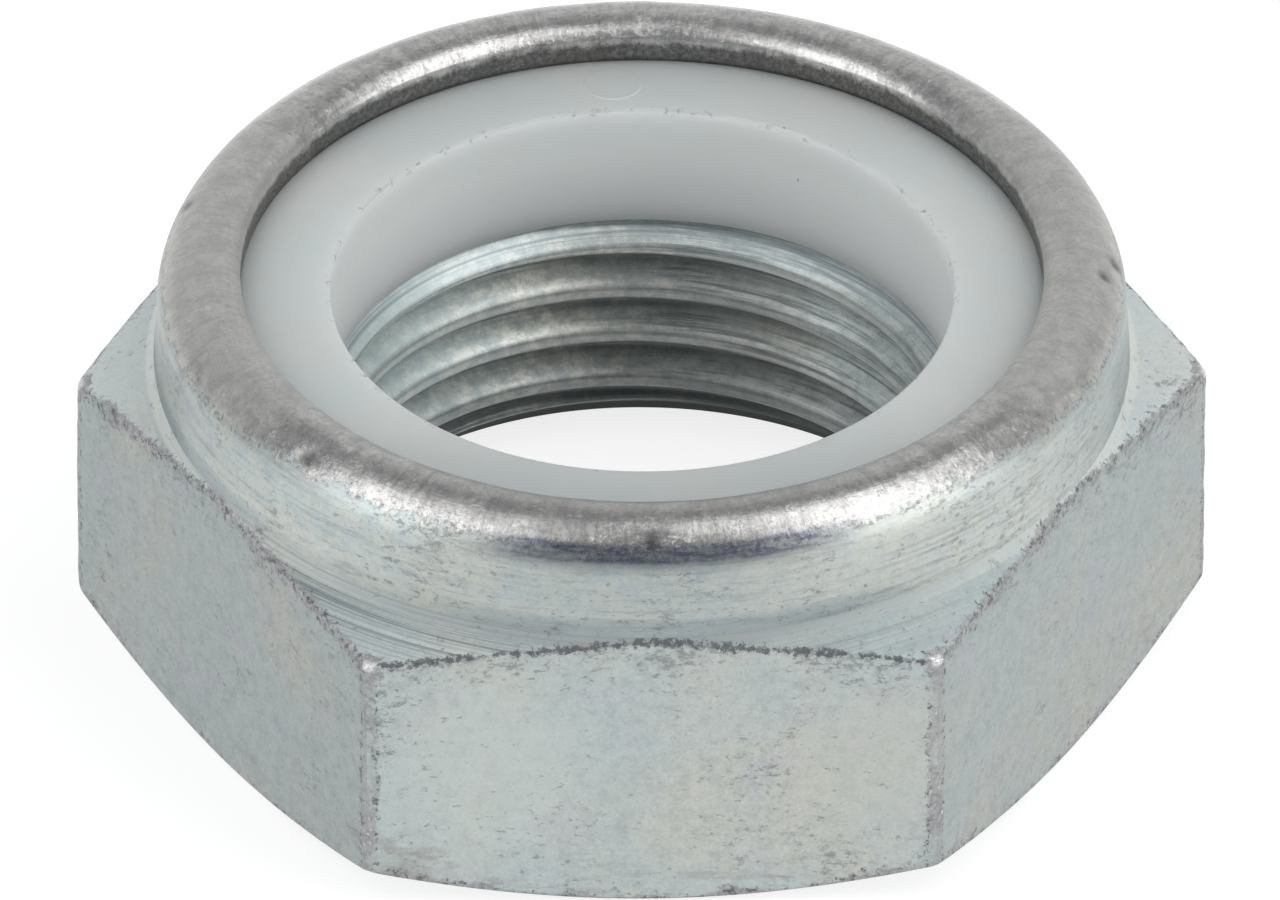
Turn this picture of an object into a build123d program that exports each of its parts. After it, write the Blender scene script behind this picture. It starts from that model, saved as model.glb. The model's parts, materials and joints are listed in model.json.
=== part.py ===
"""Thin prevailing-torque hexagon lock nut, M24 x 2, with a captive nylon insert.

The steel body is a hexagonal blank turned to one section: a chamfered bearing side, a conical shoulder
and a round collar, whose thin wall is rolled inwards over the insert. The insert is a ring that sits on
the floor of the collar's pocket and fills it up to the underside of the rolled lip. The bore is smooth,
at the thread's minor diameter.

Units are millimetres. +Z is the thread axis, from the bearing face towards the insert, and the origin is
the centre of the bearing face. Two corners of the hexagon lie on the X axis, so that two of its flats
face +Y and -Y.
"""

import os
from math import cos, radians, tan

from build123d import *

# Hexagon
across_flats = 36.0
hexagon_height = 11.45  # to the shoulder, at the middle of a flat
corner_radius = 0.4  # rounding of the six upright edges
bearing_inset = 0.3  # from the flats in to the circle where the bearing side's chamfer starts
bearing_chamfer_angle = 25.0  # up from the bearing face
shoulder_angle = 16.0  # fall of the conical shoulder towards the corners

# Collar and its rolled lip
collar_height = 4.55  # above the shoulder
collar_inset = 0.1  # from the flats in to the foot of the collar
collar_taper = 0.15  # radius lost between the collar's foot and its roll
collar_wall = 1.6
neck_chamfer = 0.3  # between the shoulder and the collar
roll_radius = 1.95  # outside of the roll
lip_thickness = 1.5
lip_reach = 1.45  # from the pocket's wall in to the lip's opening
lip_edge_radius = 0.7  # rounding of the lip's inner edge
pocket_corner_chamfer = 0.35  # inside the roll

# Thread bore
thread_diameter = 24.0
thread_pitch = 2.0
thread_depth_ratio = 0.54127  # depth of an internal ISO metric thread over its pitch
entry_step = 0.95  # from the thread's major radius out to the mouth of the bearing side's countersink
exit_step = 0.2  # from the thread's major radius in to the mouth of the pocket's countersink
countersink_angle = 45.0  # from the axis, on both sides

# Nylon insert
insert_height = 4.9  # from the pocket's floor to the underside of the lip
insert_bite = 0.6  # from the thread's major radius in to the insert's bore
insert_crown = 0.1  # rise of the insert's top from the lip to the bore
insert_edge_chamfer = 0.15
insert_foot_chamfer = 0.3
insert_clearance = 0.05  # between the insert and the pocket's wall

# Radii
flat_distance = across_flats / 2
corner_distance = flat_distance / cos(radians(30))
bearing_radius = flat_distance - bearing_inset
collar_foot_radius = flat_distance - collar_inset
collar_radius = collar_foot_radius - collar_taper
pocket_radius = collar_radius - collar_wall
lip_opening_radius = pocket_radius - lip_reach
major_radius = thread_diameter / 2
minor_radius = major_radius - thread_depth_ratio * thread_pitch
entry_radius = major_radius + entry_step
exit_radius = major_radius - exit_step
insert_radius = pocket_radius - insert_clearance
insert_bore_radius = major_radius - insert_bite

# Heights
overall_height = hexagon_height + collar_height
roll_start_height = overall_height - roll_radius
lip_underside_height = overall_height - lip_thickness
pocket_floor_height = lip_underside_height - insert_height


def chamfer_height(radius):
    """Height of the bearing side's chamfer at a radius."""
    return (radius - bearing_radius) * tan(radians(bearing_chamfer_angle))


def shoulder_height(radius):
    """Height of the conical shoulder at a radius."""
    return hexagon_height - (radius - flat_distance) * tan(radians(shoulder_angle))


def countersink_depth(mouth_radius):
    """Depth at which a countersink with this mouth reaches the thread's minor diameter."""
    return (mouth_radius - minor_radius) / tan(radians(countersink_angle))


with BuildPart() as nut_body:
    # The hexagonal blank
    with BuildSketch(Plane.XY):
        RegularPolygon(flat_distance, 6, major_radius=False)
    extrude(amount=overall_height)
    fillet(nut_body.edges().filter_by(Axis.Z), corner_radius)

    # The turned and rolled section: the body is what lies in both it and the blank
    with BuildSketch(Plane.XZ) as body_section:
        with BuildLine():
            outside = Polyline(
                (minor_radius, countersink_depth(entry_radius)),
                (entry_radius, 0),
                (bearing_radius, 0),
                (corner_distance, chamfer_height(corner_distance)),
                (corner_distance, shoulder_height(corner_distance)),
                (collar_foot_radius, shoulder_height(collar_foot_radius)),
                (collar_radius, roll_start_height),
            )
            roll = CenterArc((collar_radius - roll_radius, roll_start_height), roll_radius, 0, 90)
            lip_top = Line(roll @ 1, (lip_opening_radius + lip_edge_radius, overall_height))
            lip_edge = CenterArc(lip_top @ 1 - (0, lip_edge_radius), lip_edge_radius, 90, 90)
            Polyline(
                lip_edge @ 1,
                (lip_opening_radius, lip_underside_height),
                (pocket_radius, lip_underside_height),
                (pocket_radius, pocket_floor_height),
                (exit_radius, pocket_floor_height),
                (minor_radius, pocket_floor_height - countersink_depth(exit_radius)),
                outside @ 0,
            )
        make_face()
        neck = (collar_foot_radius, shoulder_height(collar_foot_radius))
        chamfer(body_section.vertices().sort_by_distance(neck)[0], neck_chamfer)
        pocket_corner = (pocket_radius, lip_underside_height)
        chamfer(body_section.vertices().sort_by_distance(pocket_corner)[0], pocket_corner_chamfer)
    revolve(axis=Axis.Z, mode=Mode.INTERSECT)
nut_body.part.label = "nut_body"

with BuildPart() as nylon_insert:
    with BuildSketch(Plane.XZ) as insert_section:
        with BuildLine():
            Polyline(
                (insert_bore_radius, pocket_floor_height),
                (insert_radius, pocket_floor_height),
                (insert_radius, lip_underside_height),
                (lip_opening_radius, lip_underside_height),
                (insert_bore_radius, lip_underside_height + insert_crown),
                close=True,
            )
        make_face()
        chamfer(insert_section.vertices().group_by(Axis.X)[0], insert_edge_chamfer)
        outer_foot = (insert_radius, pocket_floor_height)
        chamfer(insert_section.vertices().sort_by_distance(outer_foot)[0], insert_foot_chamfer)
        outer_top = (insert_radius, lip_underside_height)
        chamfer(insert_section.vertices().sort_by_distance(outer_top)[0], pocket_corner_chamfer)
    revolve(axis=Axis.Z)
nylon_insert.part.label = "nylon_insert"

os.makedirs("parts", exist_ok=True)
export_step(nut_body.part, "parts/nut_body.step")
export_step(nylon_insert.part, "parts/nylon_insert.step")
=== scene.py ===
import json
from functools import cached_property
from math import cos, pi, radians, sin, tan

import bpy
import numpy as np
from mathutils import Matrix, Vector, noise


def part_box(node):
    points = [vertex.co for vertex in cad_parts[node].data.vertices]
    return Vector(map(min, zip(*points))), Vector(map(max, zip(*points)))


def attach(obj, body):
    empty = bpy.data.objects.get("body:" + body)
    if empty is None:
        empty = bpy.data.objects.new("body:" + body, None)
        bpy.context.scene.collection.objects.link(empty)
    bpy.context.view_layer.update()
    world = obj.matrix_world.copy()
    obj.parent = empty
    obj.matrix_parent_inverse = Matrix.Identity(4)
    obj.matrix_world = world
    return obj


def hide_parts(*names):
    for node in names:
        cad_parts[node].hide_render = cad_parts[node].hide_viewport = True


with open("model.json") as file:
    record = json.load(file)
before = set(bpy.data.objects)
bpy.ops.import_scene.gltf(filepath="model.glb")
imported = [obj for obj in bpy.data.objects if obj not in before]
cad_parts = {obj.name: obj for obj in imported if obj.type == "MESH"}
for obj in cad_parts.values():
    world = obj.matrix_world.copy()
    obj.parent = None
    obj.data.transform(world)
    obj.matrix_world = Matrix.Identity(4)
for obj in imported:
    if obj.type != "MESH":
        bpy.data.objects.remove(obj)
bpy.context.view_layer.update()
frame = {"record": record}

# The looks of the nylon insert lock nut: a zinc plated steel body with its real thread, and the nylon
# ring that the body's rolled lip holds. Lengths are millimetres until a mesh, lamp or camera is made.
# The thread's axis is Z, and the bearing face is at 0. The hexagon's corners lie at 0, 60, ... degrees
# round the axis, and the flat that the photograph shows in front faces -90 degrees.

MM = 0.001

# Directions round the axis, in degrees
RIGHT = 0.0
BACK = 90.0
LEFT = 180.0
FRONT = -90.0
SECTOR = pi / 3  # from one corner of the hexagon to the next

# Sizes of the CAD part
body_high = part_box("nut_body")[1] / MM
ring_low, ring_high = (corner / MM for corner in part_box("nylon_insert"))
FLAT = body_high.y  # from the axis to a flat
HEIGHT = body_high.z
HEXAGON_HEIGHT = 11.45  # to the shoulder at the middle of a flat
CORNER_ROUNDING = 0.4
BEARING_INSET = 0.3
BEARING_RADIUS = FLAT - BEARING_INSET
BEARING_ANGLE = 25.0
SHOULDER_ANGLE = 16.0
BEARING_SLOPE = tan(radians(BEARING_ANGLE))
SHOULDER_SLOPE = tan(radians(SHOULDER_ANGLE))
COLLAR_INSET = 0.1
COLLAR_TAPER = 0.15
COLLAR_FOOT_RADIUS = FLAT - COLLAR_INSET
COLLAR_RADIUS = COLLAR_FOOT_RADIUS - COLLAR_TAPER
NECK_CHAMFER = 0.3
ROLL_RADIUS = 1.95
ROLL_HEIGHT = HEIGHT - ROLL_RADIUS
ROLL_CENTRE = (COLLAR_RADIUS - ROLL_RADIUS, ROLL_HEIGHT)
LIP_THICKNESS = 1.5
LIP_UNDERSIDE = HEIGHT - LIP_THICKNESS
LIP_OPENING_RADIUS = 14.7
LIP_EDGE_DROP = 0.6  # the lip rounds off over this height to its opening, a little more than in the CAD
RING_RADIUS = ring_high.x
RING_CLEARANCE = 0.05
POCKET_RADIUS = RING_RADIUS + RING_CLEARANCE
POCKET_FLOOR = ring_low.z
POCKET_CHAMFER = 0.35
RING_BORE_RADIUS = 11.4
RING_CROWN = 0.1
RING_FOOT_CHAMFER = 0.3
RING_EDGE_ROUNDING = 0.10
RING_FOOT_ROUNDING = 0.08

# The thread
MAJOR_RADIUS = 12.0
MINOR_RADIUS = frame["record"]["mounts"][0]["dims"]["r_mm"]
PITCH = 2.0
FLANK_ANGLE = 60.0  # from the axis
THREAD_ROUNDING = 0.16  # how far a crest or root is rounded off
THREAD_PHASE = 0.925  # puts a root 7.65 mm up the bore's far side
ENTRY_RADIUS = 12.95  # mouths of the countersinks, which stand at 45 degrees
EXIT_RADIUS = 11.8

# The body's materials, in the order of its slots
FLATS, TURNED, COLLAR, THREAD = range(4)

# The zones of the body's section in order round it: how many rows the mesh has there, and the material
ZONES = {
    "bearing": (8, TURNED),
    "chamfer": (12, TURNED),
    "flat": (30, FLATS),
    "shoulder": (14, TURNED),
    "neck": (4, TURNED),
    "wall": (14, COLLAR),
    "roll": (18, COLLAR),
    "lip_edge": (14, COLLAR),
    "lip_end": (4, COLLAR),
    "underside": (2, COLLAR),
    "pocket_corner": (1, COLLAR),
    "pocket_wall": (2, COLLAR),
    "floor": (3, THREAD),
    "bore": (100, THREAD),
}
COLUMNS_PER_HALF_SIDE = 36
CORNER_CROWDING = 1.5  # 1 would space the columns evenly; more crowds them at the hexagon's corners
RING_COLUMNS = 288

# Edges of the hexagon that are rounded: the zone that starts at the edge, the rows each side, the passes
SOFTENED_EDGES = (("chamfer", 3, 4), ("flat", 5, 6), ("shoulder", 5, 5))

# How far the wear reaches in from each flat's upper edge, in mm: the flats at 30, 90, ... 330 degrees
EDGE_WEAR = (0.26, 0.16, 0.30, 0.40, 0.10, 0.38)

# How light each of those flats is: painted light and shade, each flat made lighter or darker for how the
# light falls on it, the front one lightest
SIDE_PAINTED_LIGHT = (1.00, 1.05, 1.03, 0.86, 1.12, 0.92)

# Dents in the rolled lip: angle round the axis and round the roll in degrees, width and depth in mm
DENTS = (
    (-90.3, 47.0, 0.62, 0.12),
    (1.0, 38.0, 0.55, 0.08),
    (-3.5, 55.0, 0.40, 0.06),
    (-137.0, 50.0, 0.45, 0.06),
    (72.0, 62.0, 0.40, 0.05),
    (165.0, 45.0, 0.50, 0.07),
)


def eased(count):
    """Fractions from 0 up to, but without, 1 that crowd together at both ends, one to a row."""
    return (0.5 - 0.5 * np.cos(pi * np.arange(count) / count))[:, None]


def even(count):
    """Even fractions from 0 up to, but without, 1, one to a row."""
    return (np.arange(count) / count)[:, None]


def line(start, end, fractions):
    """Radii and heights on a straight line of the section."""
    (r0, z0), (r1, z1) = start, end
    return r0 + (r1 - r0) * fractions, z0 + (z1 - z0) * fractions


def arc(centre, radius, start, end, fractions):
    """Radii and heights on an arc of the section."""
    turn = start + (end - start) * fractions
    return centre[0] + radius * np.cos(turn), centre[1] + radius * np.sin(turn)


# ---------------------------------------------------------------- the steel body's section


def column_angles():
    """The angle of each column of the mesh, closer together at the hexagon's corners."""
    steps = np.arange(-COLUMNS_PER_HALF_SIDE, COLUMNS_PER_HALF_SIDE) / COLUMNS_PER_HALF_SIDE
    sector = SECTOR / 2 * np.sign(steps) * np.abs(steps) ** CORNER_CROWDING
    return np.concatenate([sector + SECTOR * side for side in range(6)])


def angle_from_corner(angles):
    """Angle to the nearest corner of the hexagon."""
    return np.abs((angles + SECTOR / 2) % SECTOR - SECTOR / 2)


def hexagon_radius(angles):
    """Distance from the axis to the hexagon's outline, with its corners rounded."""
    from_corner = angle_from_corner(angles)
    flat = FLAT / np.cos(SECTOR / 2 - from_corner)
    inner = FLAT - CORNER_ROUNDING
    centre = inner / cos(SECTOR / 2)
    under_root = CORNER_ROUNDING**2 - (centre * np.sin(from_corner)) ** 2
    rounded = centre * np.cos(from_corner) + np.sqrt(np.maximum(under_root, 0))
    rounded_to = SECTOR / 2 - np.arctan2(inner * tan(SECTOR / 2), FLAT)
    return np.where(from_corner < rounded_to, rounded, flat)


def chamfer_height(radius):
    """Height of the bearing side's chamfer."""
    return (radius - BEARING_RADIUS) * BEARING_SLOPE


def shoulder_height(radius):
    """Height of the shoulder cone."""
    return HEXAGON_HEIGHT - (radius - FLAT) * SHOULDER_SLOPE


neck_corner = Vector((COLLAR_FOOT_RADIUS, shoulder_height(COLLAR_FOOT_RADIUS)))
collar_top = Vector((COLLAR_RADIUS, ROLL_HEIGHT))
neck_top = neck_corner + (collar_top - neck_corner).normalized() * NECK_CHAMFER
neck_foot = neck_corner + Vector((1, -SHOULDER_SLOPE)).normalized() * NECK_CHAMFER


def upper_height(radius):
    """Height of the shoulder cone, and of the neck's chamfer further in."""
    up_the_neck = (neck_foot.x - radius) / (neck_foot.x - neck_top.x)
    neck = neck_foot.y + (neck_top.y - neck_foot.y) * up_the_neck
    return np.where(radius > neck_foot.x, shoulder_height(radius), neck)


def thread_radius(angles, heights):
    """Wall of the right-handed internal thread, its crests and roots rounded."""
    half_root = PITCH / 16
    phase = (heights / PITCH - angles / (2 * pi) + THREAD_PHASE) % 1.0
    from_root = np.abs(phase - 0.5) * PITCH
    flank = MAJOR_RADIUS - (from_root - half_root) * tan(radians(FLANK_ANGLE))
    below_root = (flank + MAJOR_RADIUS - np.hypot(flank - MAJOR_RADIUS, THREAD_ROUNDING)) / 2
    return (below_root + MINOR_RADIUS + np.hypot(below_root - MINOR_RADIUS, THREAD_ROUNDING)) / 2


def bore_radius(angles, heights):
    """The thread, opened up by the two countersinks."""
    entry_sink = ENTRY_RADIUS - heights
    exit_sink = EXIT_RADIUS - (POCKET_FLOOR - heights)
    return np.maximum(thread_radius(angles, heights), np.maximum(entry_sink, exit_sink))


def hexagon_zones(angles, fractions):
    """The bearing face, the chamfer, the flats, the shoulder and the neck at every angle."""
    outline = hexagon_radius(angles)
    bottom = chamfer_height(outline)
    top = upper_height(outline)
    mouth = bore_radius(angles, 0.0)
    neck_start = np.minimum(neck_foot.x, (outline + neck_top.x) / 2)
    chamfer_r = BEARING_RADIUS + (outline - BEARING_RADIUS) * fractions["chamfer"]
    shoulder_r = outline + (neck_start - outline) * fractions["shoulder"]
    neck_r = neck_start + (neck_top.x - neck_start) * fractions["neck"]
    return {
        "bearing": line((mouth, 0.0), (BEARING_RADIUS, 0.0), fractions["bearing"]),
        "chamfer": (chamfer_r, chamfer_height(chamfer_r)),
        "flat": line((outline, bottom), (outline, top), fractions["flat"]),
        "shoulder": (shoulder_r, upper_height(shoulder_r)),
        "neck": (neck_r, upper_height(neck_r)),
    }


def lip_edge(turn):
    """The lip from the top of the roll in to its opening, a quarter of an ellipse."""
    reach = ROLL_CENTRE[0] - LIP_OPENING_RADIUS
    return ROLL_CENTRE[0] - reach * np.sin(turn), HEIGHT - LIP_EDGE_DROP * (1 - np.cos(turn))


def collar_zones(fractions):
    """The collar's wall, the roll, the lip and the pocket."""
    lip_end = lip_edge(pi / 2)
    underside_start = (LIP_OPENING_RADIUS, LIP_UNDERSIDE)
    underside_end = (POCKET_RADIUS - POCKET_CHAMFER, LIP_UNDERSIDE)
    pocket_wall_top = (POCKET_RADIUS, LIP_UNDERSIDE - POCKET_CHAMFER)
    return {
        "wall": line(neck_top, collar_top, fractions["wall"]),
        "roll": arc(ROLL_CENTRE, ROLL_RADIUS, 0, pi / 2, fractions["roll"]),
        "lip_edge": lip_edge(pi / 2 * fractions["lip_edge"]),
        "lip_end": line(lip_end, underside_start, fractions["lip_end"]),
        "underside": line(underside_start, underside_end, fractions["underside"]),
        "pocket_corner": line(underside_end, pocket_wall_top, fractions["pocket_corner"]),
        "pocket_wall": line(pocket_wall_top, (POCKET_RADIUS, POCKET_FLOOR), fractions["pocket_wall"]),
    }


def bore_zones(angles, fractions):
    """The pocket's floor and the threaded bore at every angle."""
    floor_mouth = bore_radius(angles, POCKET_FLOOR)
    bore_z = POCKET_FLOOR * (1 - fractions["bore"]) * np.ones_like(angles)
    return {
        "floor": line((POCKET_RADIUS, POCKET_FLOOR), (floor_mouth, POCKET_FLOOR), fractions["floor"]),
        "bore": (bore_radius(angles, bore_z), bore_z),
    }


def body_zones(angles):
    """The body's section at every angle: the radii and heights of each zone's rows."""
    crowded = ("bearing", "chamfer", "flat", "shoulder", "wall")
    fractions = {zone: eased(rows) if zone in crowded else even(rows) for zone, (rows, _) in ZONES.items()}
    found = {**hexagon_zones(angles, fractions), **collar_zones(fractions), **bore_zones(angles, fractions)}
    return {zone: found[zone] for zone in ZONES}


# ---------------------------------------------------------------- the steel body's mesh


def surface_points(angles, radii, heights):
    """Points in space for a grid of radii and heights, one angle to a column."""
    return np.stack([radii * np.cos(angles), radii * np.sin(angles), heights], -1)


def soften(values, rows, passes):
    """Rounds an edge off by moving the rows beside it towards their neighbours, a few times."""
    for _ in range(passes):
        values[rows] += 0.5 * ((values[rows - 1] + values[rows + 1]) / 2 - values[rows])


def grid_mesh(name, points, row_materials):
    """A closed mesh on a grid of points that joins up both ways round."""
    rows, columns = points.shape[:2]
    index = np.arange(rows * columns).reshape(rows, columns)
    below = np.roll(index, -1, 0)
    right = np.roll(index, -1, 1)
    across = np.roll(below, -1, 1)
    faces = np.stack([index, right, across, below], -1).reshape(-1, 4)
    mesh = bpy.data.meshes.new(name)
    mesh.from_pydata((points.reshape(-1, 3) * MM).tolist(), [], faces.tolist())
    mesh.polygons.foreach_set("use_smooth", [True] * len(faces))
    mesh.polygons.foreach_set("material_index", np.repeat(row_materials, columns).astype(np.int32))
    mesh.update()
    piece = bpy.data.objects.new(name, mesh)
    bpy.context.collection.objects.link(piece)
    return piece


def rough_noise(points, mask, scale, seed):
    """Smooth noise from 0 to 1 at the points under the mask, and 0 elsewhere."""
    values = np.zeros(points.shape[:2])
    shift = Vector((seed, seed * 1.7, seed * 2.3))
    for row, column in np.argwhere(mask):
        here = Vector(points[row, column]) * scale + shift
        values[row, column] = 0.5 + 0.5 * noise.noise(here)
    return values


def dent_depth(points):
    """Depth of the dents at each point, and how near the point is to the middle of one, from 0 to 1."""
    depth = np.zeros(points.shape[:2])
    nearness = np.zeros(points.shape[:2])
    for around, turn, width, deep in DENTS:
        radius = ROLL_CENTRE[0] + ROLL_RADIUS * cos(radians(turn))
        height = ROLL_HEIGHT + ROLL_RADIUS * sin(radians(turn))
        middle = (radius * cos(radians(around)), radius * sin(radians(around)), height)
        away = np.linalg.norm(points - np.array(middle), axis=-1) / width
        shape = np.clip(1 - away**2, 0, 1) ** 2
        depth = np.maximum(depth, shape * deep)
        nearness = np.maximum(nearness, shape)
    return depth, nearness


def edge_measures(angles, radii, heights):
    """Each point's distance in mm from the hexagon's edges, the wear of its side, and its side's tone,
    which is painted light and shade.
    """
    corner_depth = 0.6  # a point further in from the outline is near no corner
    far = 9.0
    outline = hexagon_radius(angles)
    along = radii * np.sin(angle_from_corner(angles))
    side = np.floor((angles % (2 * pi)) / SECTOR).astype(int)
    every_row = np.ones_like(radii)
    return {
        "upper_edge_mm": np.hypot(radii - outline, heights - upper_height(outline)),
        "lower_edge_mm": np.hypot(radii - outline, heights - chamfer_height(outline)),
        "corner_mm": np.where(radii > outline - corner_depth, along, far),
        "edge_wear_mm": np.array(EDGE_WEAR)[side] * every_row,
        # the tone is painted light and shade: each flat's brightness for how the light falls on it
        "tone": np.array(SIDE_PAINTED_LIGHT)[side] * every_row,
    }


def wear_down(angles, radii, heights, measures, on_lip):
    """Chips the upper edges, knocks the corners, and gives the lip its unevenness and dents."""
    chip_width, chip_base, chip_share = 0.5, 0.05, 0.25
    chip_in, chip_down, dent_in, dent_down = 0.5, 0.6, 0.6, 0.8  # shares of their depth
    knock_width, knock_depth, foot = 0.45, 0.10, 0.6
    wave_height, ripple_height = 0.05, 0.02
    fade_depth, fade_height = 0.2, 0.6  # the waves fade out towards the lip's underside
    points = surface_points(angles, radii, heights)
    at_edge = np.clip(1 - measures["upper_edge_mm"] / chip_width, 0, 1)
    chip_depth = chip_base + chip_share * measures["edge_wear_mm"]
    chips = rough_noise(points, at_edge > 0, scale=1.6, seed=3.0) * at_edge**2 * chip_depth
    at_corner = np.clip(1 - measures["corner_mm"] / knock_width, 0, 1) * (heights > foot)
    knocks = rough_noise(points, at_corner > 0, scale=1.3, seed=8.0) ** 2 * at_corner * knock_depth
    waves = rough_noise(points, on_lip, scale=0.45, seed=5.0) * wave_height
    ripples = rough_noise(points, on_lip, scale=1.7, seed=6.0) * ripple_height
    dents, dent_middles = dent_depth(points)
    above_underside = np.clip((heights - LIP_UNDERSIDE + fade_depth) / fade_height, 0, 1)
    lip_drop = ((waves + ripples) * above_underside + dents * dent_down) * on_lip
    worn_radii = radii - chips * chip_in - knocks - dents * dent_in
    worn_heights = heights - chips * chip_down - lip_drop
    return worn_radii, worn_heights, dent_middles


def make_body(materials):
    """The steel body: its section at every angle, with softened and worn edges."""
    angles = column_angles()
    zones = body_zones(angles)
    every_column = np.ones_like(angles)
    radii = np.concatenate([rows * every_column for rows, _ in zones.values()])
    heights = np.concatenate([rows * every_column for _, rows in zones.values()])
    row_counts = [rows for rows, _ in ZONES.values()]
    first_row = dict(zip(ZONES, np.cumsum([0] + row_counts)))
    for zone, reach, passes in SOFTENED_EDGES:
        rows = np.arange(first_row[zone] - reach, first_row[zone] + reach)
        soften(radii, rows, passes)
        soften(heights, rows, passes)

    measures = edge_measures(angles, radii, heights)
    on_lip = np.zeros(radii.shape, bool)
    on_lip[first_row["roll"]:first_row["underside"]] = True
    radii, heights, measures["dent"] = wear_down(angles, radii, heights, measures, on_lip)
    row_materials = np.repeat([material for _, material in ZONES.values()], row_counts)
    body = grid_mesh("steel_body", surface_points(angles, radii, heights), row_materials)
    for name, values in measures.items():
        attribute = body.data.attributes.new(name, "FLOAT", "POINT")
        attribute.data.foreach_set("value", values.ravel().astype(np.float32))
    for material in materials:
        body.data.materials.append(material)
    return body


# ---------------------------------------------------------------- the nylon ring's mesh


def ring_section():
    """The ring's section from its outer foot up, in under the lip, over its top and down its bore."""
    top = LIP_UNDERSIDE + RING_CROWN
    outer_foot = (RING_RADIUS, POCKET_FLOOR + RING_FOOT_CHAMFER)
    outer_top = (RING_RADIUS, LIP_UNDERSIDE - POCKET_CHAMFER)
    under_lip = (RING_RADIUS - POCKET_CHAMFER, LIP_UNDERSIDE)
    lip_opening = (LIP_OPENING_RADIUS, LIP_UNDERSIDE)
    edge_centre = (RING_BORE_RADIUS + RING_EDGE_ROUNDING, top - RING_EDGE_ROUNDING)
    foot_centre = (RING_BORE_RADIUS + RING_FOOT_ROUNDING, POCKET_FLOOR + RING_FOOT_ROUNDING)
    inner_foot = (foot_centre[0], POCKET_FLOOR)
    foot_end = (RING_RADIUS - RING_FOOT_CHAMFER, POCKET_FLOOR)
    return (
        line(outer_foot, outer_top, eased(4)),
        line(outer_top, under_lip, eased(2)),
        line(under_lip, lip_opening, eased(3)),
        line(lip_opening, (edge_centre[0], top), eased(16)),
        arc(edge_centre, RING_EDGE_ROUNDING, pi / 2, pi, even(6)),
        line((RING_BORE_RADIUS, edge_centre[1]), (RING_BORE_RADIUS, foot_centre[1]), eased(18)),
        arc(foot_centre, RING_FOOT_ROUNDING, pi, pi * 3 / 2, even(6)),
        line(inner_foot, foot_end, eased(5)),
    )


def make_ring(material):
    """The nylon ring: the hidden sides plain, the top and the bore fine enough for their soft edges."""
    angles = np.arange(RING_COLUMNS) * 2 * pi / RING_COLUMNS
    every_column = np.ones_like(angles)
    section = ring_section()
    radii = np.concatenate([rows * every_column for rows, _ in section])
    heights = np.concatenate([rows * every_column for _, rows in section])
    ring = grid_mesh("nylon_ring", surface_points(angles, radii, heights), np.zeros(len(radii), int))
    ring.data.materials.append(material)
    return ring


# ---------------------------------------------------------------- materials

STREAK_RADIUS = 16.0  # where streaks come the stated number of times in a millimetre
METAL_RELIEF = 0.05  # depth of the metal's fine relief
EDGE_HEIGHT = 14.58  # of the nylon's inner edge, which is scuffed and nicked
EDGE_RADIUS = 11.42


class Value:
    """What a material works out at each point of the surface: arithmetic on it adds math nodes."""

    def __init__(self, shader, socket):
        self.shader = shader
        self.socket = socket

    def __add__(self, other):
        return self.shader.math("ADD", self, other)

    def __sub__(self, other):
        return self.shader.math("SUBTRACT", self, other)

    def __rsub__(self, other):
        return self.shader.math("SUBTRACT", other, self)

    def __mul__(self, other):
        return self.shader.math("MULTIPLY", self, other)


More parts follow.
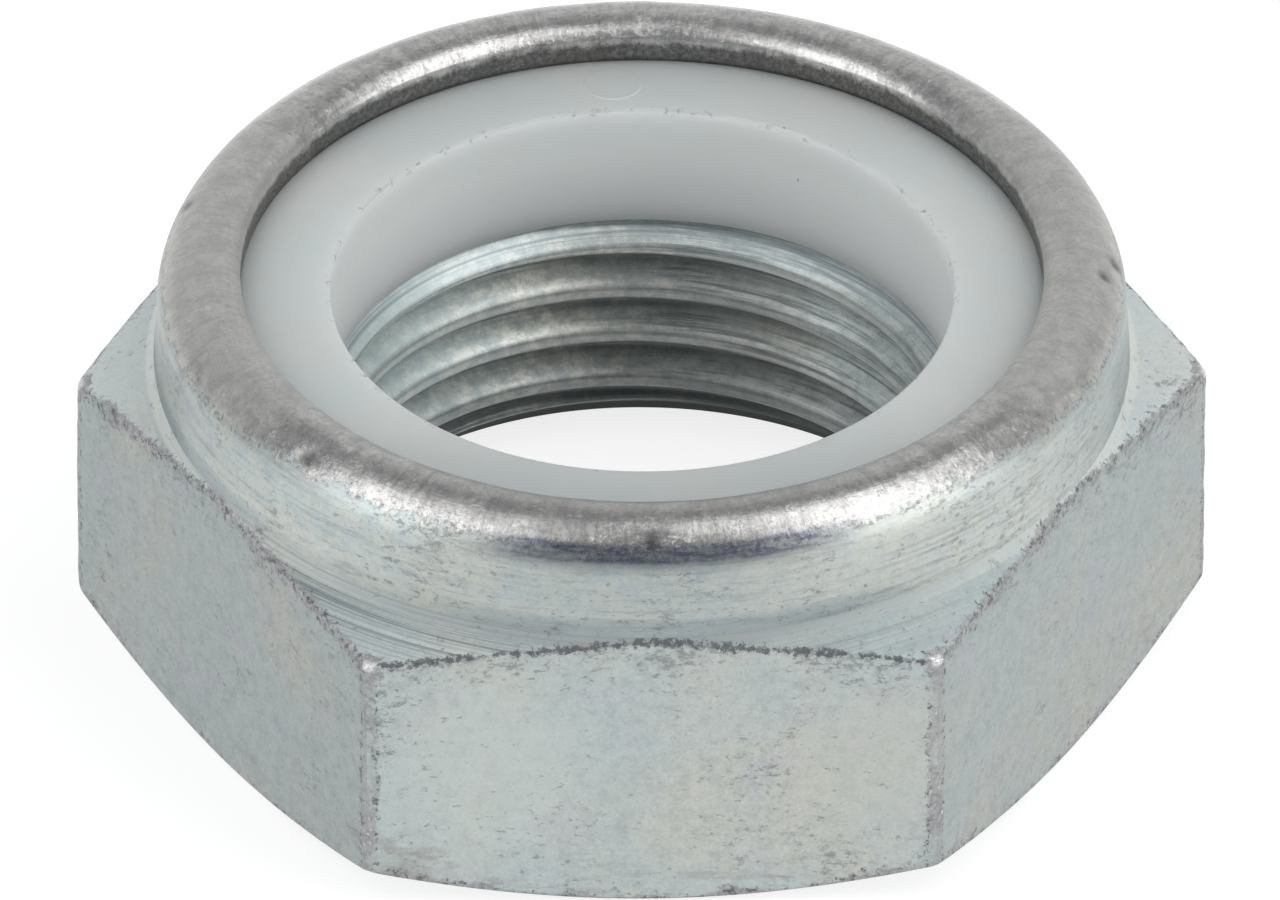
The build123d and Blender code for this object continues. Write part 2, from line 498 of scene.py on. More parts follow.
class Shader:
    """A material's node tree, with short names for the nodes that it uses. Colours are linear."""

    def __init__(self, name):
        self.material = bpy.data.materials.new(name)
        self.material.use_nodes = True
        self.tree = self.material.node_tree

    def plug(self, socket, value):
        if isinstance(value, Value):
            self.tree.links.new(value.socket, socket)
        else:
            socket.default_value = value

    def node(self, kind, inputs, output=0, **settings):
        """Adds a node, fills its inputs by place or by name, and returns one of its outputs."""
        made = self.tree.nodes.new("ShaderNode" + kind)
        for name, setting in settings.items():
            setattr(made, name, setting)
        for key, value in inputs.items():
            self.plug(made.inputs[key], value)
        return Value(self, made.outputs[output])

    def parts(self, vector):
        """The three parts of a vector."""
        made = self.tree.nodes.new("ShaderNodeSeparateXYZ")
        self.plug(made.inputs[0], vector)
        return [Value(self, part) for part in made.outputs]

    def math(self, operation, first, second=0.0):
        return self.node("Math", {0: first, 1: second}, operation=operation)

    def largest(self, first, *others):
        for value in others:
            first = self.math("MAXIMUM", first, value)
        return first

    def apart(self, first, second):
        """How far two values lie apart."""
        return self.math("ABSOLUTE", first - second)

    def swing(self, noise_value, width):
        """Noise as a shift to both sides of 0, this wide in all."""
        return (noise_value - 0.5) * width

    def ramp(self, value, low, high, to_low=0.0, to_high=1.0):
        """A smooth step from to_low, where the value is low, to to_high, where it is high."""
        inputs = {"Value": value, "From Min": low, "From Max": high, "To Min": to_low, "To Max": to_high}
        return self.node("MapRange", inputs, interpolation_type="SMOOTHSTEP")

    def between(self, share, first, second):
        """From one number, where the share is 0, to another, where it is 1."""
        return self.ramp(share, 0.0, 1.0, first, second)

    def mix(self, factor, first, second):
        """The first colour, with this much of the second over it."""
        inputs = {"Factor": factor, 6: first, 7: second}
        return self.node("Mix", inputs, 2, data_type="RGBA", blend_type="MIX")

    def attribute(self, name):
        return self.node("Attribute", {}, "Fac", attribute_name=name)

    @cached_property
    def position(self):
        """The point on the surface, in millimetres."""
        coordinates = self.node("TexCoord", {}, "Object")
        return self.node("VectorMath", {0: coordinates, "Scale": 1 / MM}, operation="SCALE")

    @cached_property
    def polar(self):
        """The point's direction from the axis, its height and its radius."""
        x, y, height = self.parts(self.position)
        flat = self.node("CombineXYZ", {0: x, 1: y})
        direction = self.node("VectorMath", {0: flat}, operation="NORMALIZE")
        radius = self.node("VectorMath", {0: flat}, "Value", operation="LENGTH")
        return direction, height, radius

    def distance(self, centre):
        """Distance from a point of the nut, in millimetres."""
        return self.node("VectorMath", {0: self.position, 1: centre}, "Value", operation="DISTANCE")

    def facing(self, angle, low, high):
        """1 on the side towards an angle round the axis, and 0 elsewhere: a step between two cosines."""
        direction, _, _ = self.polar
        towards = (cos(radians(angle)), sin(radians(angle)), 0.0)
        shown = self.node("VectorMath", {0: direction, 1: towards}, "Value", operation="DOT_PRODUCT")
        return self.ramp(shown, low, high)

    def beside(self):
        """1 on the nut's left and right, and 0 on its front and back."""
        low, high = 0.72, 0.93
        return self.largest(self.facing(RIGHT, low, high), self.facing(LEFT, low, high))

    def noise(self, scale, detail, roughness=0.55, at=None, w=None):
        """Noise round 0.5 at the point on the surface, or at another, with about `scale` lumps to a mm."""
        inputs = {"Vector": at or self.position, "Scale": scale, "Detail": detail, "Roughness": roughness}
        if w is None:
            return self.node("TexNoise", inputs, "Fac")
        return self.node("TexNoise", {**inputs, "W": w}, "Fac", noise_dimensions="4D")

    def streaks(self, around, across, detail, roughness):
        """Noise that varies `around` times a millimetre of the way round and `across` times across."""
        direction, height, radius = self.polar
        scale = around * STREAK_RADIUS
        stretched = self.node("VectorMath", {0: direction, "Scale": scale}, operation="SCALE")
        x, y, _ = self.parts(stretched)
        at = self.node("CombineXYZ", {0: x, 1: y, 2: height * across})
        return self.noise(1.0, detail, roughness, at, radius * across)

    def spot(self, centre, far, near):
        """1 near a point of the nut, and 0 away from it, with a ragged outline."""
        ragged = self.swing(self.noise(0.8, 4.0, 0.7), 0.6 * (far + near))
        return self.ramp(self.distance(centre) + ragged, far, near)

    def bump(self, relief, strength, distance):
        return self.node("Bump", {"Strength": strength, "Distance": distance * MM, "Height": relief})

    def set(self, **sockets):
        """Fills sockets of the surface, and returns the material."""
        surface = self.tree.nodes["Principled BSDF"]
        for name, value in sockets.items():
            self.plug(surface.inputs[name.replace("_", " ")], value)
        return self.material


def passivate(shader, tone):
    """Clear blue passivate over zinc: grey-blue with pale cream and lilac clouds and a fine grain."""
    blue = (0.500 * tone, 0.560 * tone, 0.555 * tone, 1)
    cream = (0.560 * tone, 0.570 * tone, 0.525 * tone, 1)
    lilac = (0.530 * tone, 0.535 * tone, 0.560 * tone, 1)
    shade = (0.330 * tone, 0.370 * tone, 0.375 * tone, 1)
    clouds = shader.ramp(shader.noise(0.16, 3.0), 0.42, 0.66)
    blush = shader.ramp(shader.noise(0.45, 4.0), 0.50, 0.72, 0.0, 0.7)
    colour = shader.mix(blush, shader.mix(clouds, blue, cream), lilac)
    mottle = shader.ramp(shader.noise(2.2, 6.0, 0.80), 0.42, 0.74, 0.0, 0.62)
    colour = shader.mix(mottle, colour, shade)
    grain = shader.ramp(shader.noise(6.5, 4.0, 0.8), 0.34, 0.66, 0.0, 0.36)
    return shader.mix(grain, colour, shade)


def add_flecks(shader, colour, amount):
    """Dark pits: clusters drawn out sideways, and single fine ones between them."""
    pit = (0.19, 0.20, 0.21, 1)
    sideways = (0.75, 0.75, 1.3)
    stretched = shader.node("VectorMath", {0: shader.position, 1: sideways}, operation="MULTIPLY")
    clusters = shader.noise(0.30, 3.0)
    clustered = shader.noise(2.0, 6.0, 0.78, stretched) + shader.swing(clusters, 0.40)
    clustered = shader.ramp(clustered + amount, 0.60, 0.70, 0.0, 0.60)
    single = shader.noise(3.6, 4.0, 0.66, stretched) + shader.swing(clusters, 0.15)
    single = shader.ramp(single + amount, 0.62, 0.70, 0.0, 0.50)
    flecks = shader.largest(clustered, single)
    return shader.mix(flecks, colour, pit), flecks


def edge_rub(shader, coarse, share):
    """The worn strips along the edges: how far inside its strip a point is, in mm, for the strips
    beside the flats' upper and lower edges and for all three kinds, and how much the strips show."""
    upper = shader.attribute("upper_edge_mm")
    lower = shader.attribute("lower_edge_mm")
    corner = shader.attribute("corner_mm")
    reach = shader.attribute("edge_wear_mm")
    upper_reach = reach * shader.ramp(coarse, 0.3, 0.7, 0.6 * share, 1.5 * share)
    lower_reach = shader.ramp(coarse, 0.40, 0.66, 0.08, 0.50)
    corner_reach = shader.ramp(coarse, 0.3, 0.7, 0.26, 0.42)
    in_upper = upper_reach - upper
    in_lower = (lower_reach - lower) * 1.1
    in_corner = (corner_reach - corner) * 1.4
    in_flats_edge = shader.largest(in_upper, in_lower)
    inside = shader.largest(in_flats_edge, in_corner)
    thin_patches = shader.ramp(shader.noise(0.42, 2.0, 0.7), 0.40, 0.56, 0.68, 0.0)
    down_the_corner = shader.ramp(corner, 1.0, 0.6) * shader.ramp(upper, 0.5, 1.4)
    kept = 1.0 - thin_patches * down_the_corner
    return in_flats_edge, inside, kept


def edge_pits(shader, coarse, in_flats_edge, inside):
    """Dark pits: a thin line of them on the least worn edges, and some along the strips."""
    line_from_corner = 0.32
    upper = shader.attribute("upper_edge_mm")
    corner = shader.attribute("corner_mm")
    reach = shader.attribute("edge_wear_mm")
    grain = shader.swing(shader.noise(3.6, 5.0, 0.78), 2.0)
    little_worn = shader.ramp(reach, 0.12, 0.26, 0.0, 0.20)
    thin_reach = shader.ramp(coarse, 0.35, 0.65, 0.20, 0.30) - little_worn
    thin_line = (thin_reach - upper) * 1.3
    corner_line = 0.08 - shader.apart(corner, line_from_corner)
    in_strip = shader.math("MINIMUM", in_flats_edge * 0.30, 0.06)
    pits = shader.largest(thin_line, corner_line, in_strip)
    pits = shader.ramp(grain + pits, 0.10, 0.26, 0.0, 0.9)
    return pits * shader.ramp(inside, -0.35, -0.05)


def add_wear(shader, colour, roughness, relief, share):
    """The hexagon's edges: brown-grey rub with a ragged outline, dark pits, and bright worn points and
    glints: lighter bare metal, made lighter still as a painted highlight.
    """
    rub_dark, rub_light = (0.28, 0.278, 0.285, 1), (0.53, 0.525, 0.535, 1)
    pit_dark, pit_light = (0.045, 0.05, 0.055, 1), (0.22, 0.23, 0.24, 1)
    bare_metal_and_glint = (0.80, 0.80, 0.82, 1)
    bare_roughness = 0.18
    grain = shader.noise(2.6, 5.0, 0.76)
    coarse = shader.noise(0.5, 3.0)
    in_flats_edge, inside, kept = edge_rub(shader, coarse, share)
    rub = shader.ramp(grain + inside, 0.46, 0.64, 0.0, 0.88) * kept
    pits = edge_pits(shader, coarse, in_flats_edge, inside)

    rub_grain = shader.ramp(shader.noise(4.0, 6.0, 0.75), 0.32, 0.68)
    rubbed = shader.mix(rub_grain, rub_dark, rub_light)
    pitted = shader.mix(shader.noise(7.0, 4.0), pit_dark, pit_light)
    # painted highlight: the glints and the worn corner points are made light as well as smooth, partly as
    # bare metal
    glints = shader.ramp(shader.noise(5.5, 3.0), 0.64, 0.70) * rub
    at_corner = shader.ramp(shader.attribute("corner_mm"), 0.34, 0.14)
    at_point = at_corner * shader.ramp(shader.attribute("upper_edge_mm"), 0.34, 0.10)
    bare_and_glinting = shader.largest(glints, at_point)
    colour = shader.mix(rub, colour, rubbed)
    colour = shader.mix(pits, colour, pitted)
    colour = shader.mix(bare_and_glinting, colour, bare_metal_and_glint)
    roughness = shader.between(bare_and_glinting, roughness, bare_roughness)
    relief = relief - pits * 1.1 + rub * (grain * 0.8)
    return colour, roughness, relief


def flat_zinc():
    """The six flats, each lightened or darkened by painted light and shade for its side, pitted most near
    the top edge and smudged low down. The front one has a cream patch, a pale patch and a rubbed foot."""
    cream, pale = (0.60, 0.585, 0.51, 1), (0.60, 0.65, 0.615, 1)
    smear, rubbed = (0.30, 0.28, 0.27, 1), (0.30, 0.285, 0.275, 1)
    cream_centre, pale_centre, foot_centre = (8.2, -FLAT, 6.5), (-6.0, -FLAT, 6.0), (-9.3, -FLAT, 0.7)
    shader = Shader("zinc_flats")
    colour = passivate(shader, 1.08)
    cream_patch = shader.spot(cream_centre, far=4.6, near=1.6)
    colour = shader.mix(cream_patch * 0.4, colour, cream)
    pale_patch = shader.spot(pale_centre, far=5.5, near=1.5)
    colour = shader.mix(pale_patch * 0.5, colour, pale)
    # painted light and shade: the colour is scaled by the tone of its side, for how the light falls on each
    # flat
    tone = shader.attribute("tone")
    side_lit_colour = shader.node("VectorMath", {0: colour, "Scale": tone}, operation="SCALE")
    near_top = shader.ramp(shader.attribute("upper_edge_mm"), 2.2, 0.1, 0.0, 0.07)
    colour, flecks = add_flecks(shader, side_lit_colour, near_top)
    smears = shader.streaks(0.22, 1.6, 6.0, 0.72)
    low_down = shader.ramp(shader.attribute("lower_edge_mm"), 3.6, 0.6)
    smears = shader.ramp(smears, 0.53, 0.68, 0.0, 0.50) * low_down
    colour = shader.mix(smears, colour, smear)
    rubbed_foot = shader.spot(foot_centre, far=2.0, near=0.4)
    colour = shader.mix(rubbed_foot * 0.6, colour, rubbed)
    relief = shader.noise(5.0, 6.0, 0.75) * 0.9 - flecks * 0.6
    rough = shader.ramp(shader.noise(1.5, 5.0), 0.3, 0.7, 0.40, 0.54)
    colour, rough, relief = add_wear(shader, colour, rough, relief, 1.0)
    bumped = shader.bump(relief, 0.5, METAL_RELIEF)
    return shader.set(Base_Color=colour, Metallic=0.62, Roughness=rough, Normal=bumped)


def turned_zinc():
    """The shoulder, the neck and the bearing side, with the turning tool's rings, painted shade on the
    front right and at the neck in front, a painted highlight round the neck, and painted light on the left
    and right.
    """
    dark_ring, light_ring = (0.22, 0.25, 0.27, 1), (0.74, 0.76, 0.72, 1)
    shade, pale = (0.28, 0.34, 0.35, 1), (0.84, 0.88, 0.86, 1)
    neck_painted_highlight, neck_shade_grey = (0.80, 0.80, 0.72, 1), (0.32, 0.36, 0.38, 1)
    chatter_side, painted_shade_side = -112.0, -68.0
    outer_rings, inner_rings = 20.4, 18.8  # radii between which the rings grow clearer
    neck_outside, neck_inside = 18.32, 18.10
    shader = Shader("zinc_turned")
    _, _, radius = shader.polar
    colour = passivate(shader, 1.40)
    rings = shader.streaks(0.05, 8.0, 4.0, 0.65)
    chatter = shader.facing(chatter_side, 0.35, 0.90)
    close_in = shader.ramp(radius, outer_rings, inner_rings, 0.45, 1.0)
    cut = chatter * close_in
    dark_rings = cut * shader.ramp(rings, 0.46, 0.58, 0.34, 0.85)
    colour = shader.mix(dark_rings, colour, dark_ring)
    light_rings = cut * shader.ramp(rings, 0.42, 0.34, 0.0, 0.6)
    colour = shader.mix(light_rings, colour, light_ring)
    # painted shade on the front right
    colour = shader.mix(shader.facing(painted_shade_side, 0.75, 0.97) * 0.32, colour, shade)
    ragged = shader.swing(shader.noise(1.2, 5.0, 0.7), 0.5)
    neck = shader.ramp(radius + ragged, neck_outside, neck_inside)
    # painted highlight round the neck: a creamy strip where the chamfer catches the light
    colour = shader.mix(neck * 0.35, colour, neck_painted_highlight)
    # painted light on the left and right of the shoulder
    colour = shader.mix(shader.beside() * 0.40, colour, pale)
    # painted shade in the neck in front, where the shoulder meets the collar; it also makes the metal there
    # a little rougher
    neck_shade = neck * shader.facing(FRONT, 0.55, 0.95)
    colour = shader.mix(neck_shade * 0.6, colour, neck_shade_grey)
    colour, flecks = add_flecks(shader, colour, 0.0)
    ring_relief = rings * close_in * shader.between(chatter, 0.25, 1.0)
    relief = ring_relief - flecks * 0.5 + shader.noise(5.0, 5.0, 0.75) * 0.35
    rough = shader.between(neck_shade, 0.52, 0.60)
    colour, rough, relief = add_wear(shader, colour, rough, relief, 0.5)
    bumped = shader.bump(relief, 0.45, METAL_RELIEF)
    return shader.set(Base_Color=colour, Metallic=0.40, Roughness=rough, Normal=bumped)


def collar_wall(shader, height_up, patches, scratches):
    """The collar's wall: creamy patches, lines and scratches round it; a painted highlight on its foot in
    front on the left, painted shade on its foot in front and on the left side, painted light in front on
    the right, and painted shade in front and at the sides."""
    cream, right_painted_light = (0.66, 0.67, 0.595, 1), (0.76, 0.76, 0.70, 1)
    foot_painted_highlight, foot_painted_shade = (0.74, 0.735, 0.655, 1), (0.26, 0.33, 0.37, 1)
    line_grey, scratch_grey = (0.22, 0.25, 0.27, 1), (0.27, 0.30, 0.31, 1)
    nick_grey, shade = (0.24, 0.26, 0.27, 1), (0.22, 0.25, 0.26, 1)
    foot_top, foot_full = 13.3, 12.4  # heights where the foot's painted highlight begins and is full
    foot_highlight_side, right_light_side = -128.0, -52.0
    foot_shade_side, foot_shade_front = 178.0, -88.0
    wall = passivate(shader, 1.14)
    wall = shader.mix(shader.ramp(patches, 0.44, 0.62, 0.0, 0.50), wall, cream)
    # painted highlight on the collar's foot in front on the left
    foot_highlight = shader.ramp(height_up, foot_top, foot_full) * shader.facing(foot_highlight_side, 0.70, 0.95)
    wall = shader.mix(foot_highlight * 0.3, wall, foot_painted_highlight)
    # painted light on the wall in front on the right
    wall = shader.mix(shader.facing(right_light_side, 0.82, 0.97) * 0.22, wall, right_painted_light)
    lines = shader.streaks(0.07, 5.0, 4.0, 0.65)
    line_patch = shader.ramp(shader.noise(0.20, 2.0), 0.42, 0.62)
    lines = shader.ramp(lines, 0.50, 0.66) * line_patch
    wall = shader.mix(lines * 0.30, wall, line_grey)
    wall = shader.mix(shader.ramp(scratches, 0.48, 0.70, 0.0, 0.60), wall, scratch_grey)
    nicks = shader.ramp(shader.streaks(1.1, 3.2, 6.0, 0.74), 0.58, 0.68, 0.0, 0.6)
    wall = shader.mix(nicks, wall, nick_grey)
    # painted shade, bluish, low on the wall's foot on the left side and in front
    low_foot = shader.ramp(height_up, 12.7, 12.2, 0.0, 0.5)
    foot_shade_sides = shader.largest(shader.facing(foot_shade_side, 0.55, 0.90), shader.facing(foot_shade_front, 0.86, 0.97))
    wall = shader.mix(low_foot * foot_shade_sides, wall, foot_painted_shade)
    # painted shade on the wall in front and at the sides
    shaded = shader.largest(shader.facing(FRONT, 0.90, 1.0), shader.beside())
    return shader.mix(shaded * 0.22, wall, shade)


def rolled_metal(shader, radius, patches, fine, strokes, at_sides):
    """The rolled lip's warm metal: painted light at the sides and painted shade on top in front, rubbed and
    nicked.
    """
    warm_dark, warm_light = (0.47, 0.46, 0.45, 1), (0.65, 0.64, 0.62, 1)
    top_shade, stroke_grey = (0.24, 0.225, 0.215, 1), (0.22, 0.215, 0.21, 1)
    nick_light, side_painted_light = (0.80, 0.80, 0.79, 1), (0.62, 0.61, 0.58, 1)
    warm = shader.mix(shader.ramp(patches, 0.35, 0.65), warm_dark, warm_light)
    # painted shade on the lip's top in front
    front_top = shader.facing(FRONT, 0.75, 0.97) * shader.ramp(radius, 16.3, 15.9)
    warm = shader.mix(front_top * 0.35, warm, top_shade)
    warm = shader.mix(shader.ramp(strokes, 0.46, 0.72, 0.0, 0.42), warm, stroke_grey)
    warm = shader.mix(shader.ramp(fine, 0.46, 0.70, 0.0, 0.50), warm, stroke_grey)
    nicked = shader.ramp(shader.streaks(1.6, 2.2, 3.0, 0.6), 0.64, 0.70, 0.0, 0.6)
    warm = shader.mix(nicked, warm, nick_light)
    # painted light on the lip at the sides
    return shader.mix(at_sides * 0.35, warm, side_painted_light)


def collar_zinc():
    """The collar's scratched wall and the rolled lip, whose warm metal the rolling tool has marked."""
    smudge_grey, dark_reflection_blue = (0.16, 0.155, 0.155, 1), (0.10, 0.11, 0.155, 1)
    darkening_grey = (0.105, 0.102, 0.098, 1)
    roll_foot, roll_clear, border_height = 15.0, 15.45, 15.2
    dark_reflection_height, dark_reflection_side = 15.10, -88.0
    darkening_top, darkening_full = 15.42, 15.10  # heights, and then radii, where the darkening begins and is full
    darkening_outside, darkening_inside = 15.4, 15.15
    warm_outside, warm_inside = 16.2, 15.8
    shader = Shader("zinc_collar")
    _, height_up, radius = shader.polar
    patches = shader.noise(1.2, 6.0, 0.78)
    scratches = shader.streaks(0.45, 3.6, 6.0, 0.78)
    strokes = shader.streaks(4.2, 0.55, 5.0, 0.72)
    fine = shader.noise(5.5, 6.0, 0.78)
    at_sides = shader.beside()
    wall = collar_wall(shader, height_up, patches, scratches)
    wall, flecks = add_flecks(shader, wall, 0.02)
    warm = rolled_metal(shader, radius, patches, fine, strokes, at_sides)

    # Where the wall gives way to the roll
    roll_edge = height_up + shader.swing(patches, 1.4) + at_sides * 0.35
    on_roll = shader.ramp(roll_edge, roll_foot, roll_clear)
    lip = shader.largest(on_roll, shader.ramp(radius, warm_outside, warm_inside))
    border = shader.ramp(shader.apart(roll_edge, border_height), 0.25, 0.0)
    smudges = border * shader.ramp(fine, 0.46, 0.60, 0.0, 0.65)

    # The blue-black band round the front of the roll: a painted dark reflection, mottled
    band = shader.ramp(shader.apart(height_up, dark_reflection_height), 0.42, 0.16)
    dark_reflection = shader.ramp(scratches * 0.6 + fine * 0.4, 0.40, 0.60, 0.45, 0.95) * band
    dark_reflection = dark_reflection * shader.facing(dark_reflection_side, 0.90, 0.975)

    # Darker inside the lip and in the dents
    darkening_edge = height_up + shader.swing(patches, 0.8)
    inside = shader.ramp(darkening_edge, darkening_top, darkening_full) * shader.ramp(radius, darkening_outside, darkening_inside)
    inner_darkening = inside * shader.ramp(fine, 0.34, 0.60, 0.62, 0.92)
    inner_darkening = shader.largest(inner_darkening, shader.attribute("dent") * 0.8)

    colour = shader.mix(lip, wall, warm)
    colour = shader.mix(smudges, colour, smudge_grey)
    colour = shader.mix(dark_reflection, colour, dark_reflection_blue)
    colour = shader.mix(inner_darkening, colour, darkening_grey)
    lip_relief = strokes * 0.40 + fine * 0.25
    relief = scratches * 0.8 + lip * lip_relief - (dark_reflection * 0.3 + flecks * 0.5)
    lip_rough = shader.between(at_sides, 0.21, 0.42)
    rough = shader.between(lip, 0.40, lip_rough) + shader.swing(patches, 0.2)
    bumped = shader.bump(relief, 0.4, METAL_RELIEF)
    return shader.set(Base_Color=colour, Metallic=0.80, Roughness=rough, Normal=bumped)


def thread_metal(shader, colour, grain, streak, bundle):
    """The thread's wall: pale mottled grain on one side, bundles of fine lines on the other, and painted
    light on its left.
    """
    grain_shade, pale_spot = (0.27, 0.29, 0.29, 1), (0.82, 0.80, 0.74, 1)
    dark_line, light_line = (0.17, 0.18, 0.18, 1), (0.76, 0.78, 0.76, 1)
    left_painted_light = (0.66, 0.79, 0.79, 1)
    spotted_side, thread_light_side = 118.0, 165.0
    spotted = shader.facing(spotted_side, 0.55, 0.95)
    spots = shader.ramp(grain, 0.50, 0.58, 0.0, 0.9)
    light_spots = spots * shader.between(spotted, 0.30, 1.0)
    colour = shader.mix(shader.ramp(grain, 0.50, 0.34, 0.0, 0.5), colour, grain_shade)
    colour = shader.mix(light_spots, colour, pale_spot)
    dark = shader.ramp(streak, 0.50, 0.62, 0.0, 0.8) * bundle
    light = shader.ramp(streak, 0.47, 0.36, 0.0, 0.85) * bundle
    colour = shader.mix(dark, colour, dark_line)
    colour = shader.mix(light, colour, light_line)
    # painted light on the thread's left side
    return shader.mix(shader.facing(thread_light_side, 0.60, 0.95) * 0.55, colour, left_painted_light)


def darken_thread(shader, height_up, radius, colour, grain, outlet):
    """Painted shade on the thread: on its crests, deep down, at the back, at its outlet and in its roots.
    """
    crest_shade_grey, deep_shade_grey = (0.24, 0.255, 0.255, 1), (0.12, 0.13, 0.13, 1)
    back_shade_grey, outlet_shade_black = (0.13, 0.14, 0.135, 1), (0.02, 0.024, 0.022, 1)
    root_shade_grey = (0.10, 0.11, 0.11, 1)
    thread_shade_side = 80.0
    # painted shade on the crests
    crest = shader.ramp(radius, 11.12, 10.98, 0.0, 0.35) * shader.ramp(height_up, 8.9, 8.5)
    colour = shader.mix(crest, colour, crest_shade_grey)
    # painted shade deep down in the bore
    deep = shader.ramp(height_up + grain * 1.5, 6.0, 1.4, 0.0, 0.82)
    colour = shader.mix(deep, colour, deep_shade_grey)
    # painted shade on the thread at the back
    back_shade = shader.facing(thread_shade_side, 0.86, 0.99) * shader.ramp(height_up, 9.0, 7.0)
    colour = shader.mix(back_shade * 0.40, colour, back_shade_grey)
    # painted shade at the outlet, almost black
    colour = shader.mix(outlet, colour, outlet_shade_black)
    # painted shade in the thread's roots
    return shader.mix(shader.ramp(radius, 11.72, 11.95, 0.0, 0.65), colour, root_shade_grey)


def thread_zinc():
    """The thread and the pocket's countersink, where the tool has left lines."""
    sink_tint, sink_line = (0.66, 0.74, 0.75, 1), (0.30, 0.35, 0.38, 1)
    lined_side = 48.0
    outlet_top, outlet_full = 1.35, 0.95  # heights where the outlet's painted shade begins and is full
    sink_foot, sink_clear = 8.7, 8.9
    shader = Shader("zinc_thread")
    _, height_up, radius = shader.polar
    grain = shader.noise(1.8, 6.0, 0.74)
    streak = shader.streaks(0.10, 5.0, 6.0, 0.74)
    lined = shader.facing(lined_side, 0.55, 0.95)
    bundle = shader.between(lined, 0.25, 1.0)
    outlet = shader.ramp(height_up, outlet_top, outlet_full)
    colour = passivate(shader, 1.16)
    colour = thread_metal(shader, colour, grain, streak, bundle)
    colour = darken_thread(shader, height_up, radius, colour, grain, outlet)
    tool_lines = shader.streaks(0.02, 7.5, 3.0, 0.6)
    sink = shader.ramp(height_up, sink_foot, sink_clear)
    colour = shader.mix(sink * 0.35, colour, sink_tint)
    cut = shader.ramp(tool_lines, 0.46, 0.60, 0.0, 0.8) * sink
    colour = shader.mix(cut, colour, sink_line)
    relief = streak * bundle + grain * 0.6 + tool_lines * sink * 1.2
    rough = shader.between(outlet, 0.42, 1.0)
    metallic = shader.between(outlet, 0.55, 0.0)
    bumped = shader.bump(relief, 0.5, METAL_RELIEF)
    return shader.set(Base_Color=colour, Metallic=metallic, Roughness=rough, Normal=bumped)


def add_gate_mark(shader, colour):
    """The round mark that the moulding gate has left at the back, its front rim given a painted highlight.
    """
    rim_light = (0.80, 0.83, 0.82, 1)
    centre, radius, half_width = (-0.77, 13.12, 14.65), 1.0, 0.13
    unlit_centre, unlit, lit = (-0.83, 13.36, 14.65), 1.10, 1.24
    rim = shader.ramp(shader.apart(shader.distance(centre), radius), half_width, 0.0)
    front_rim = shader.ramp(shader.distance(unlit_centre), unlit, lit)
    return shader.mix(rim * front_rim * 0.5, colour, rim_light), rim


def nylon():
    """Natural nylon: milky, with a moulding mark, a few specks and a scuffed and nicked inner edge, painted
    shade in front and at the back, and painted light in its bore.
    """
    milk, warm_milk = (0.59, 0.63, 0.625, 1), (0.625, 0.64, 0.62, 1)
    shade, bore_painted_light = (0.40, 0.425, 0.425, 1), (0.87, 0.90, 0.89, 1)
    scuff_grey, speck_grey = (0.36, 0.37, 0.37, 1), (0.16, 0.15, 0.15, 1)
    scattering = 3.5  # how far light travels under the surface
    shader = Shader("nylon")
    _, height_up, radius = shader.polar
    cloud = shader.noise(0.22, 3.0)
    colour = shader.mix(shader.ramp(cloud, 0.35, 0.7), milk, warm_milk)
    # painted shade on the ring in front and at the back
    front_shade = shader.facing(FRONT, 0.55, 0.97) * 0.50
    back_shade = shader.facing(BACK, 0.40, 0.97) * 0.30
    colour = shader.mix(shader.largest(front_shade, back_shade), colour, shade)
    # painted light: the bore is made lighter, standing for light that passes through the nylon
    bore = shader.ramp(height_up, 14.50, 12.20, 0.58, 1.0) * shader.ramp(radius, 11.52, EDGE_RADIUS)
    colour = shader.mix(bore, colour, bore_painted_light)

    to_edge = shader.largest(shader.apart(radius, EDGE_RADIUS), shader.apart(height_up, EDGE_HEIGHT))
    scuffed = shader.ramp(shader.noise(0.35, 4.0), 0.38, 0.60, 0.32, 0.55)
    scuffed = shader.ramp(to_edge, 0.10, 0.03) * scuffed
    colour = shader.mix(scuffed, colour, scuff_grey)
    specks = shader.ramp(shader.noise(1.1, 5.0, 0.72), 0.725, 0.76, 0.0, 0.7)
    nicks = shader.ramp(shader.noise(2.4, 5.0, 0.75), 0.56, 0.66, 0.0, 0.7)
    nicks = nicks * shader.ramp(to_edge, 0.30, 0.05)
    marks = shader.largest(specks, nicks)
    colour = shader.mix(marks, colour, speck_grey)
    colour, gate_rim = add_gate_mark(shader, colour)
    relief = shader.noise(1.0, 4.0) * 0.6 + gate_rim * 1.6 - marks
    return shader.set(
        Base_Color=colour,
        Roughness=0.42,
        Subsurface_Weight=1.0,
        Subsurface_Radius=(1.0, 1.0, 1.0),
        Subsurface_Scale=scattering * MM,
        Normal=shader.bump(relief, 0.2, 0.1),
    )


# ---------------------------------------------------------------- stage, lamps and camera

# The softboxes: a tall one on each side and a little in front, a small one above each side, and a dim
# wide panel behind. Direction from the nut; distance, height and width in metres; radiance
SOFTBOXES = {
    "left_box": ((-0.745, -0.395, 0.54), 0.50, 0.56, 0.34, 1.85),
    "right_box": ((0.745, -0.395, 0.54), 0.50, 0.56, 0.34, 2.15),
    "left_top": ((-0.36, -0.03, 0.93), 0.50, 0.22, 0.22, 0.8),
    "right_top": ((0.35, 0.03, 0.94), 0.50, 0.25, 0.26, 1.9),
    "back_panel": ((0.0, 0.91, 0.41), 0.60, 0.48, 1.40, 0.42),
}


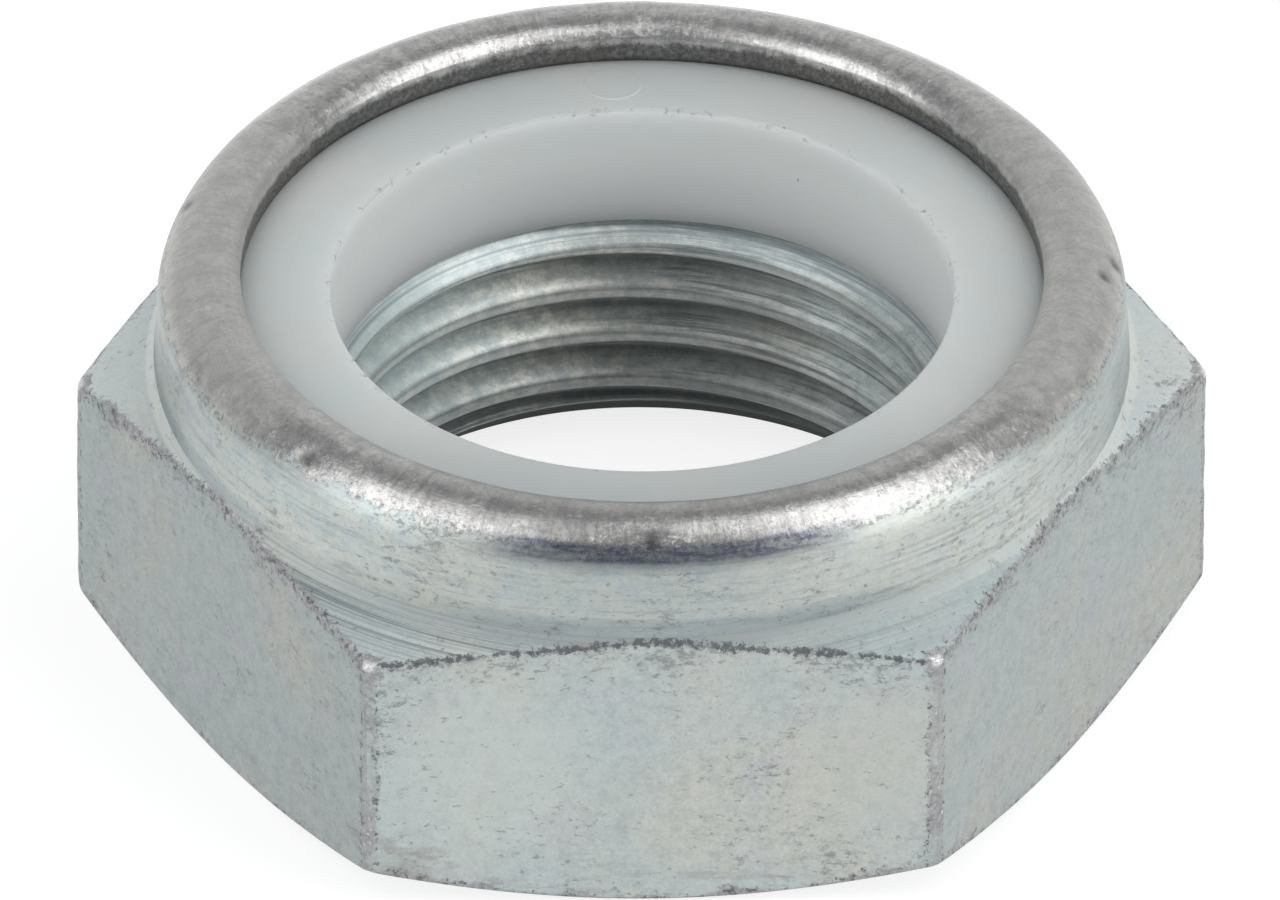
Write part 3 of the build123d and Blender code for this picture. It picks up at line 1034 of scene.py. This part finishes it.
def make_floor():
    """A white floor, whose shadow stays: what is missing to full white is added where it is looked at."""
    grey, second_grey = (0.28, 0.28, 0.28, 1), (0.29, 0.29, 0.29, 1)
    glow = 0.81
    half_size = 2.0
    mesh = bpy.data.meshes.new("floor")
    corners = [(x * half_size, y * half_size, 0.0) for x, y in ((-1, -1), (1, -1), (1, 1), (-1, 1))]
    mesh.from_pydata(corners, [], [(0, 1, 2, 3)])
    floor = bpy.data.objects.new("floor", mesh)
    bpy.context.collection.objects.link(floor)
    shader = Shader("floor")
    grain = shader.noise(0.02, 3.0)
    colour = shader.mix(grain, grey, second_grey)
    path = shader.tree.nodes.new("ShaderNodeLightPath").outputs
    rays = [Value(shader, path[f"Is {kind} Ray"]) for kind in ("Camera", "Glossy", "Transmission")]
    seen = shader.largest(*rays)
    shader.set(Base_Color=colour, Roughness=0.9, Specular_IOR_Level=0.0)
    shader.set(Emission_Color=(1, 1, 1, 1), Emission_Strength=seen * glow)
    mesh.materials.append(shader.material)


def make_world():
    sky = (0.93, 0.97, 1.0, 1)
    strength = 0.27
    world = bpy.data.worlds.new("studio")
    world.use_nodes = True
    background = world.node_tree.nodes["Background"]
    background.inputs["Color"].default_value = sky
    background.inputs["Strength"].default_value = strength
    bpy.context.scene.world = world


def softbox(name, direction, distance, tall, wide, radiance):
    """A rectangular lamp that faces the nut, out of the camera's sight."""
    lamp = bpy.data.lights.new(name, "AREA")
    lamp.shape = "RECTANGLE"
    lamp.size = wide
    lamp.size_y = tall
    lamp.energy = radiance * pi * wide * tall
    holder = bpy.data.objects.new(name, lamp)
    outwards = Vector(direction).normalized()
    across = Vector((0, 0, 1)).cross(outwards).normalized()
    place = Matrix((across, outwards.cross(across), outwards)).transposed().to_4x4()
    place.translation = outwards * distance
    holder.matrix_world = place
    holder.visible_camera = False
    bpy.context.collection.objects.link(holder)


def make_camera():
    """The camera stands far off with a long lens: the nut shows almost no perspective."""
    azimuth = radians(1.43)
    elevation = radians(35.64)
    roll = radians(-0.20)
    distance = 1250.0
    pixels_per_mm = 27.15
    frame_width = 1280
    aim_right = -0.03
    aim_up = 5.96
    back = Vector((-sin(azimuth) * cos(elevation), -cos(azimuth) * cos(elevation), sin(elevation)))
    level = Vector((cos(azimuth), -sin(azimuth), 0.0))
    upright = back.cross(level)
    right = level * cos(roll) - upright * sin(roll)
    up = level * sin(roll) + upright * cos(roll)
    camera = bpy.data.cameras.new("camera")
    camera.sensor_width = 36.0
    camera.lens = pixels_per_mm * distance * camera.sensor_width / frame_width
    camera.clip_start = 0.05
    camera.clip_end = 10.0
    holder = bpy.data.objects.new("camera", camera)
    place = Matrix((right, up, back)).transposed().to_4x4()
    place.translation = (right * aim_right + up * aim_up + back * distance) * MM
    holder.matrix_world = place
    bpy.context.collection.objects.link(holder)
    bpy.context.scene.camera = holder


# ---------------------------------------------------------------- the scene

body = make_body([flat_zinc(), turned_zinc(), collar_zinc(), thread_zinc()])
ring = make_ring(nylon())
for piece, node, slot in ((body, "nut_body", "zinc_plated_steel"), (ring, "nylon_insert", "nylon")):
    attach(piece, "root")
    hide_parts(node)

make_floor()
make_world()
for name, settings in SOFTBOXES.items():
    softbox(name, *settings)
make_camera()
bpy.context.scene.view_settings.view_transform = "Standard"
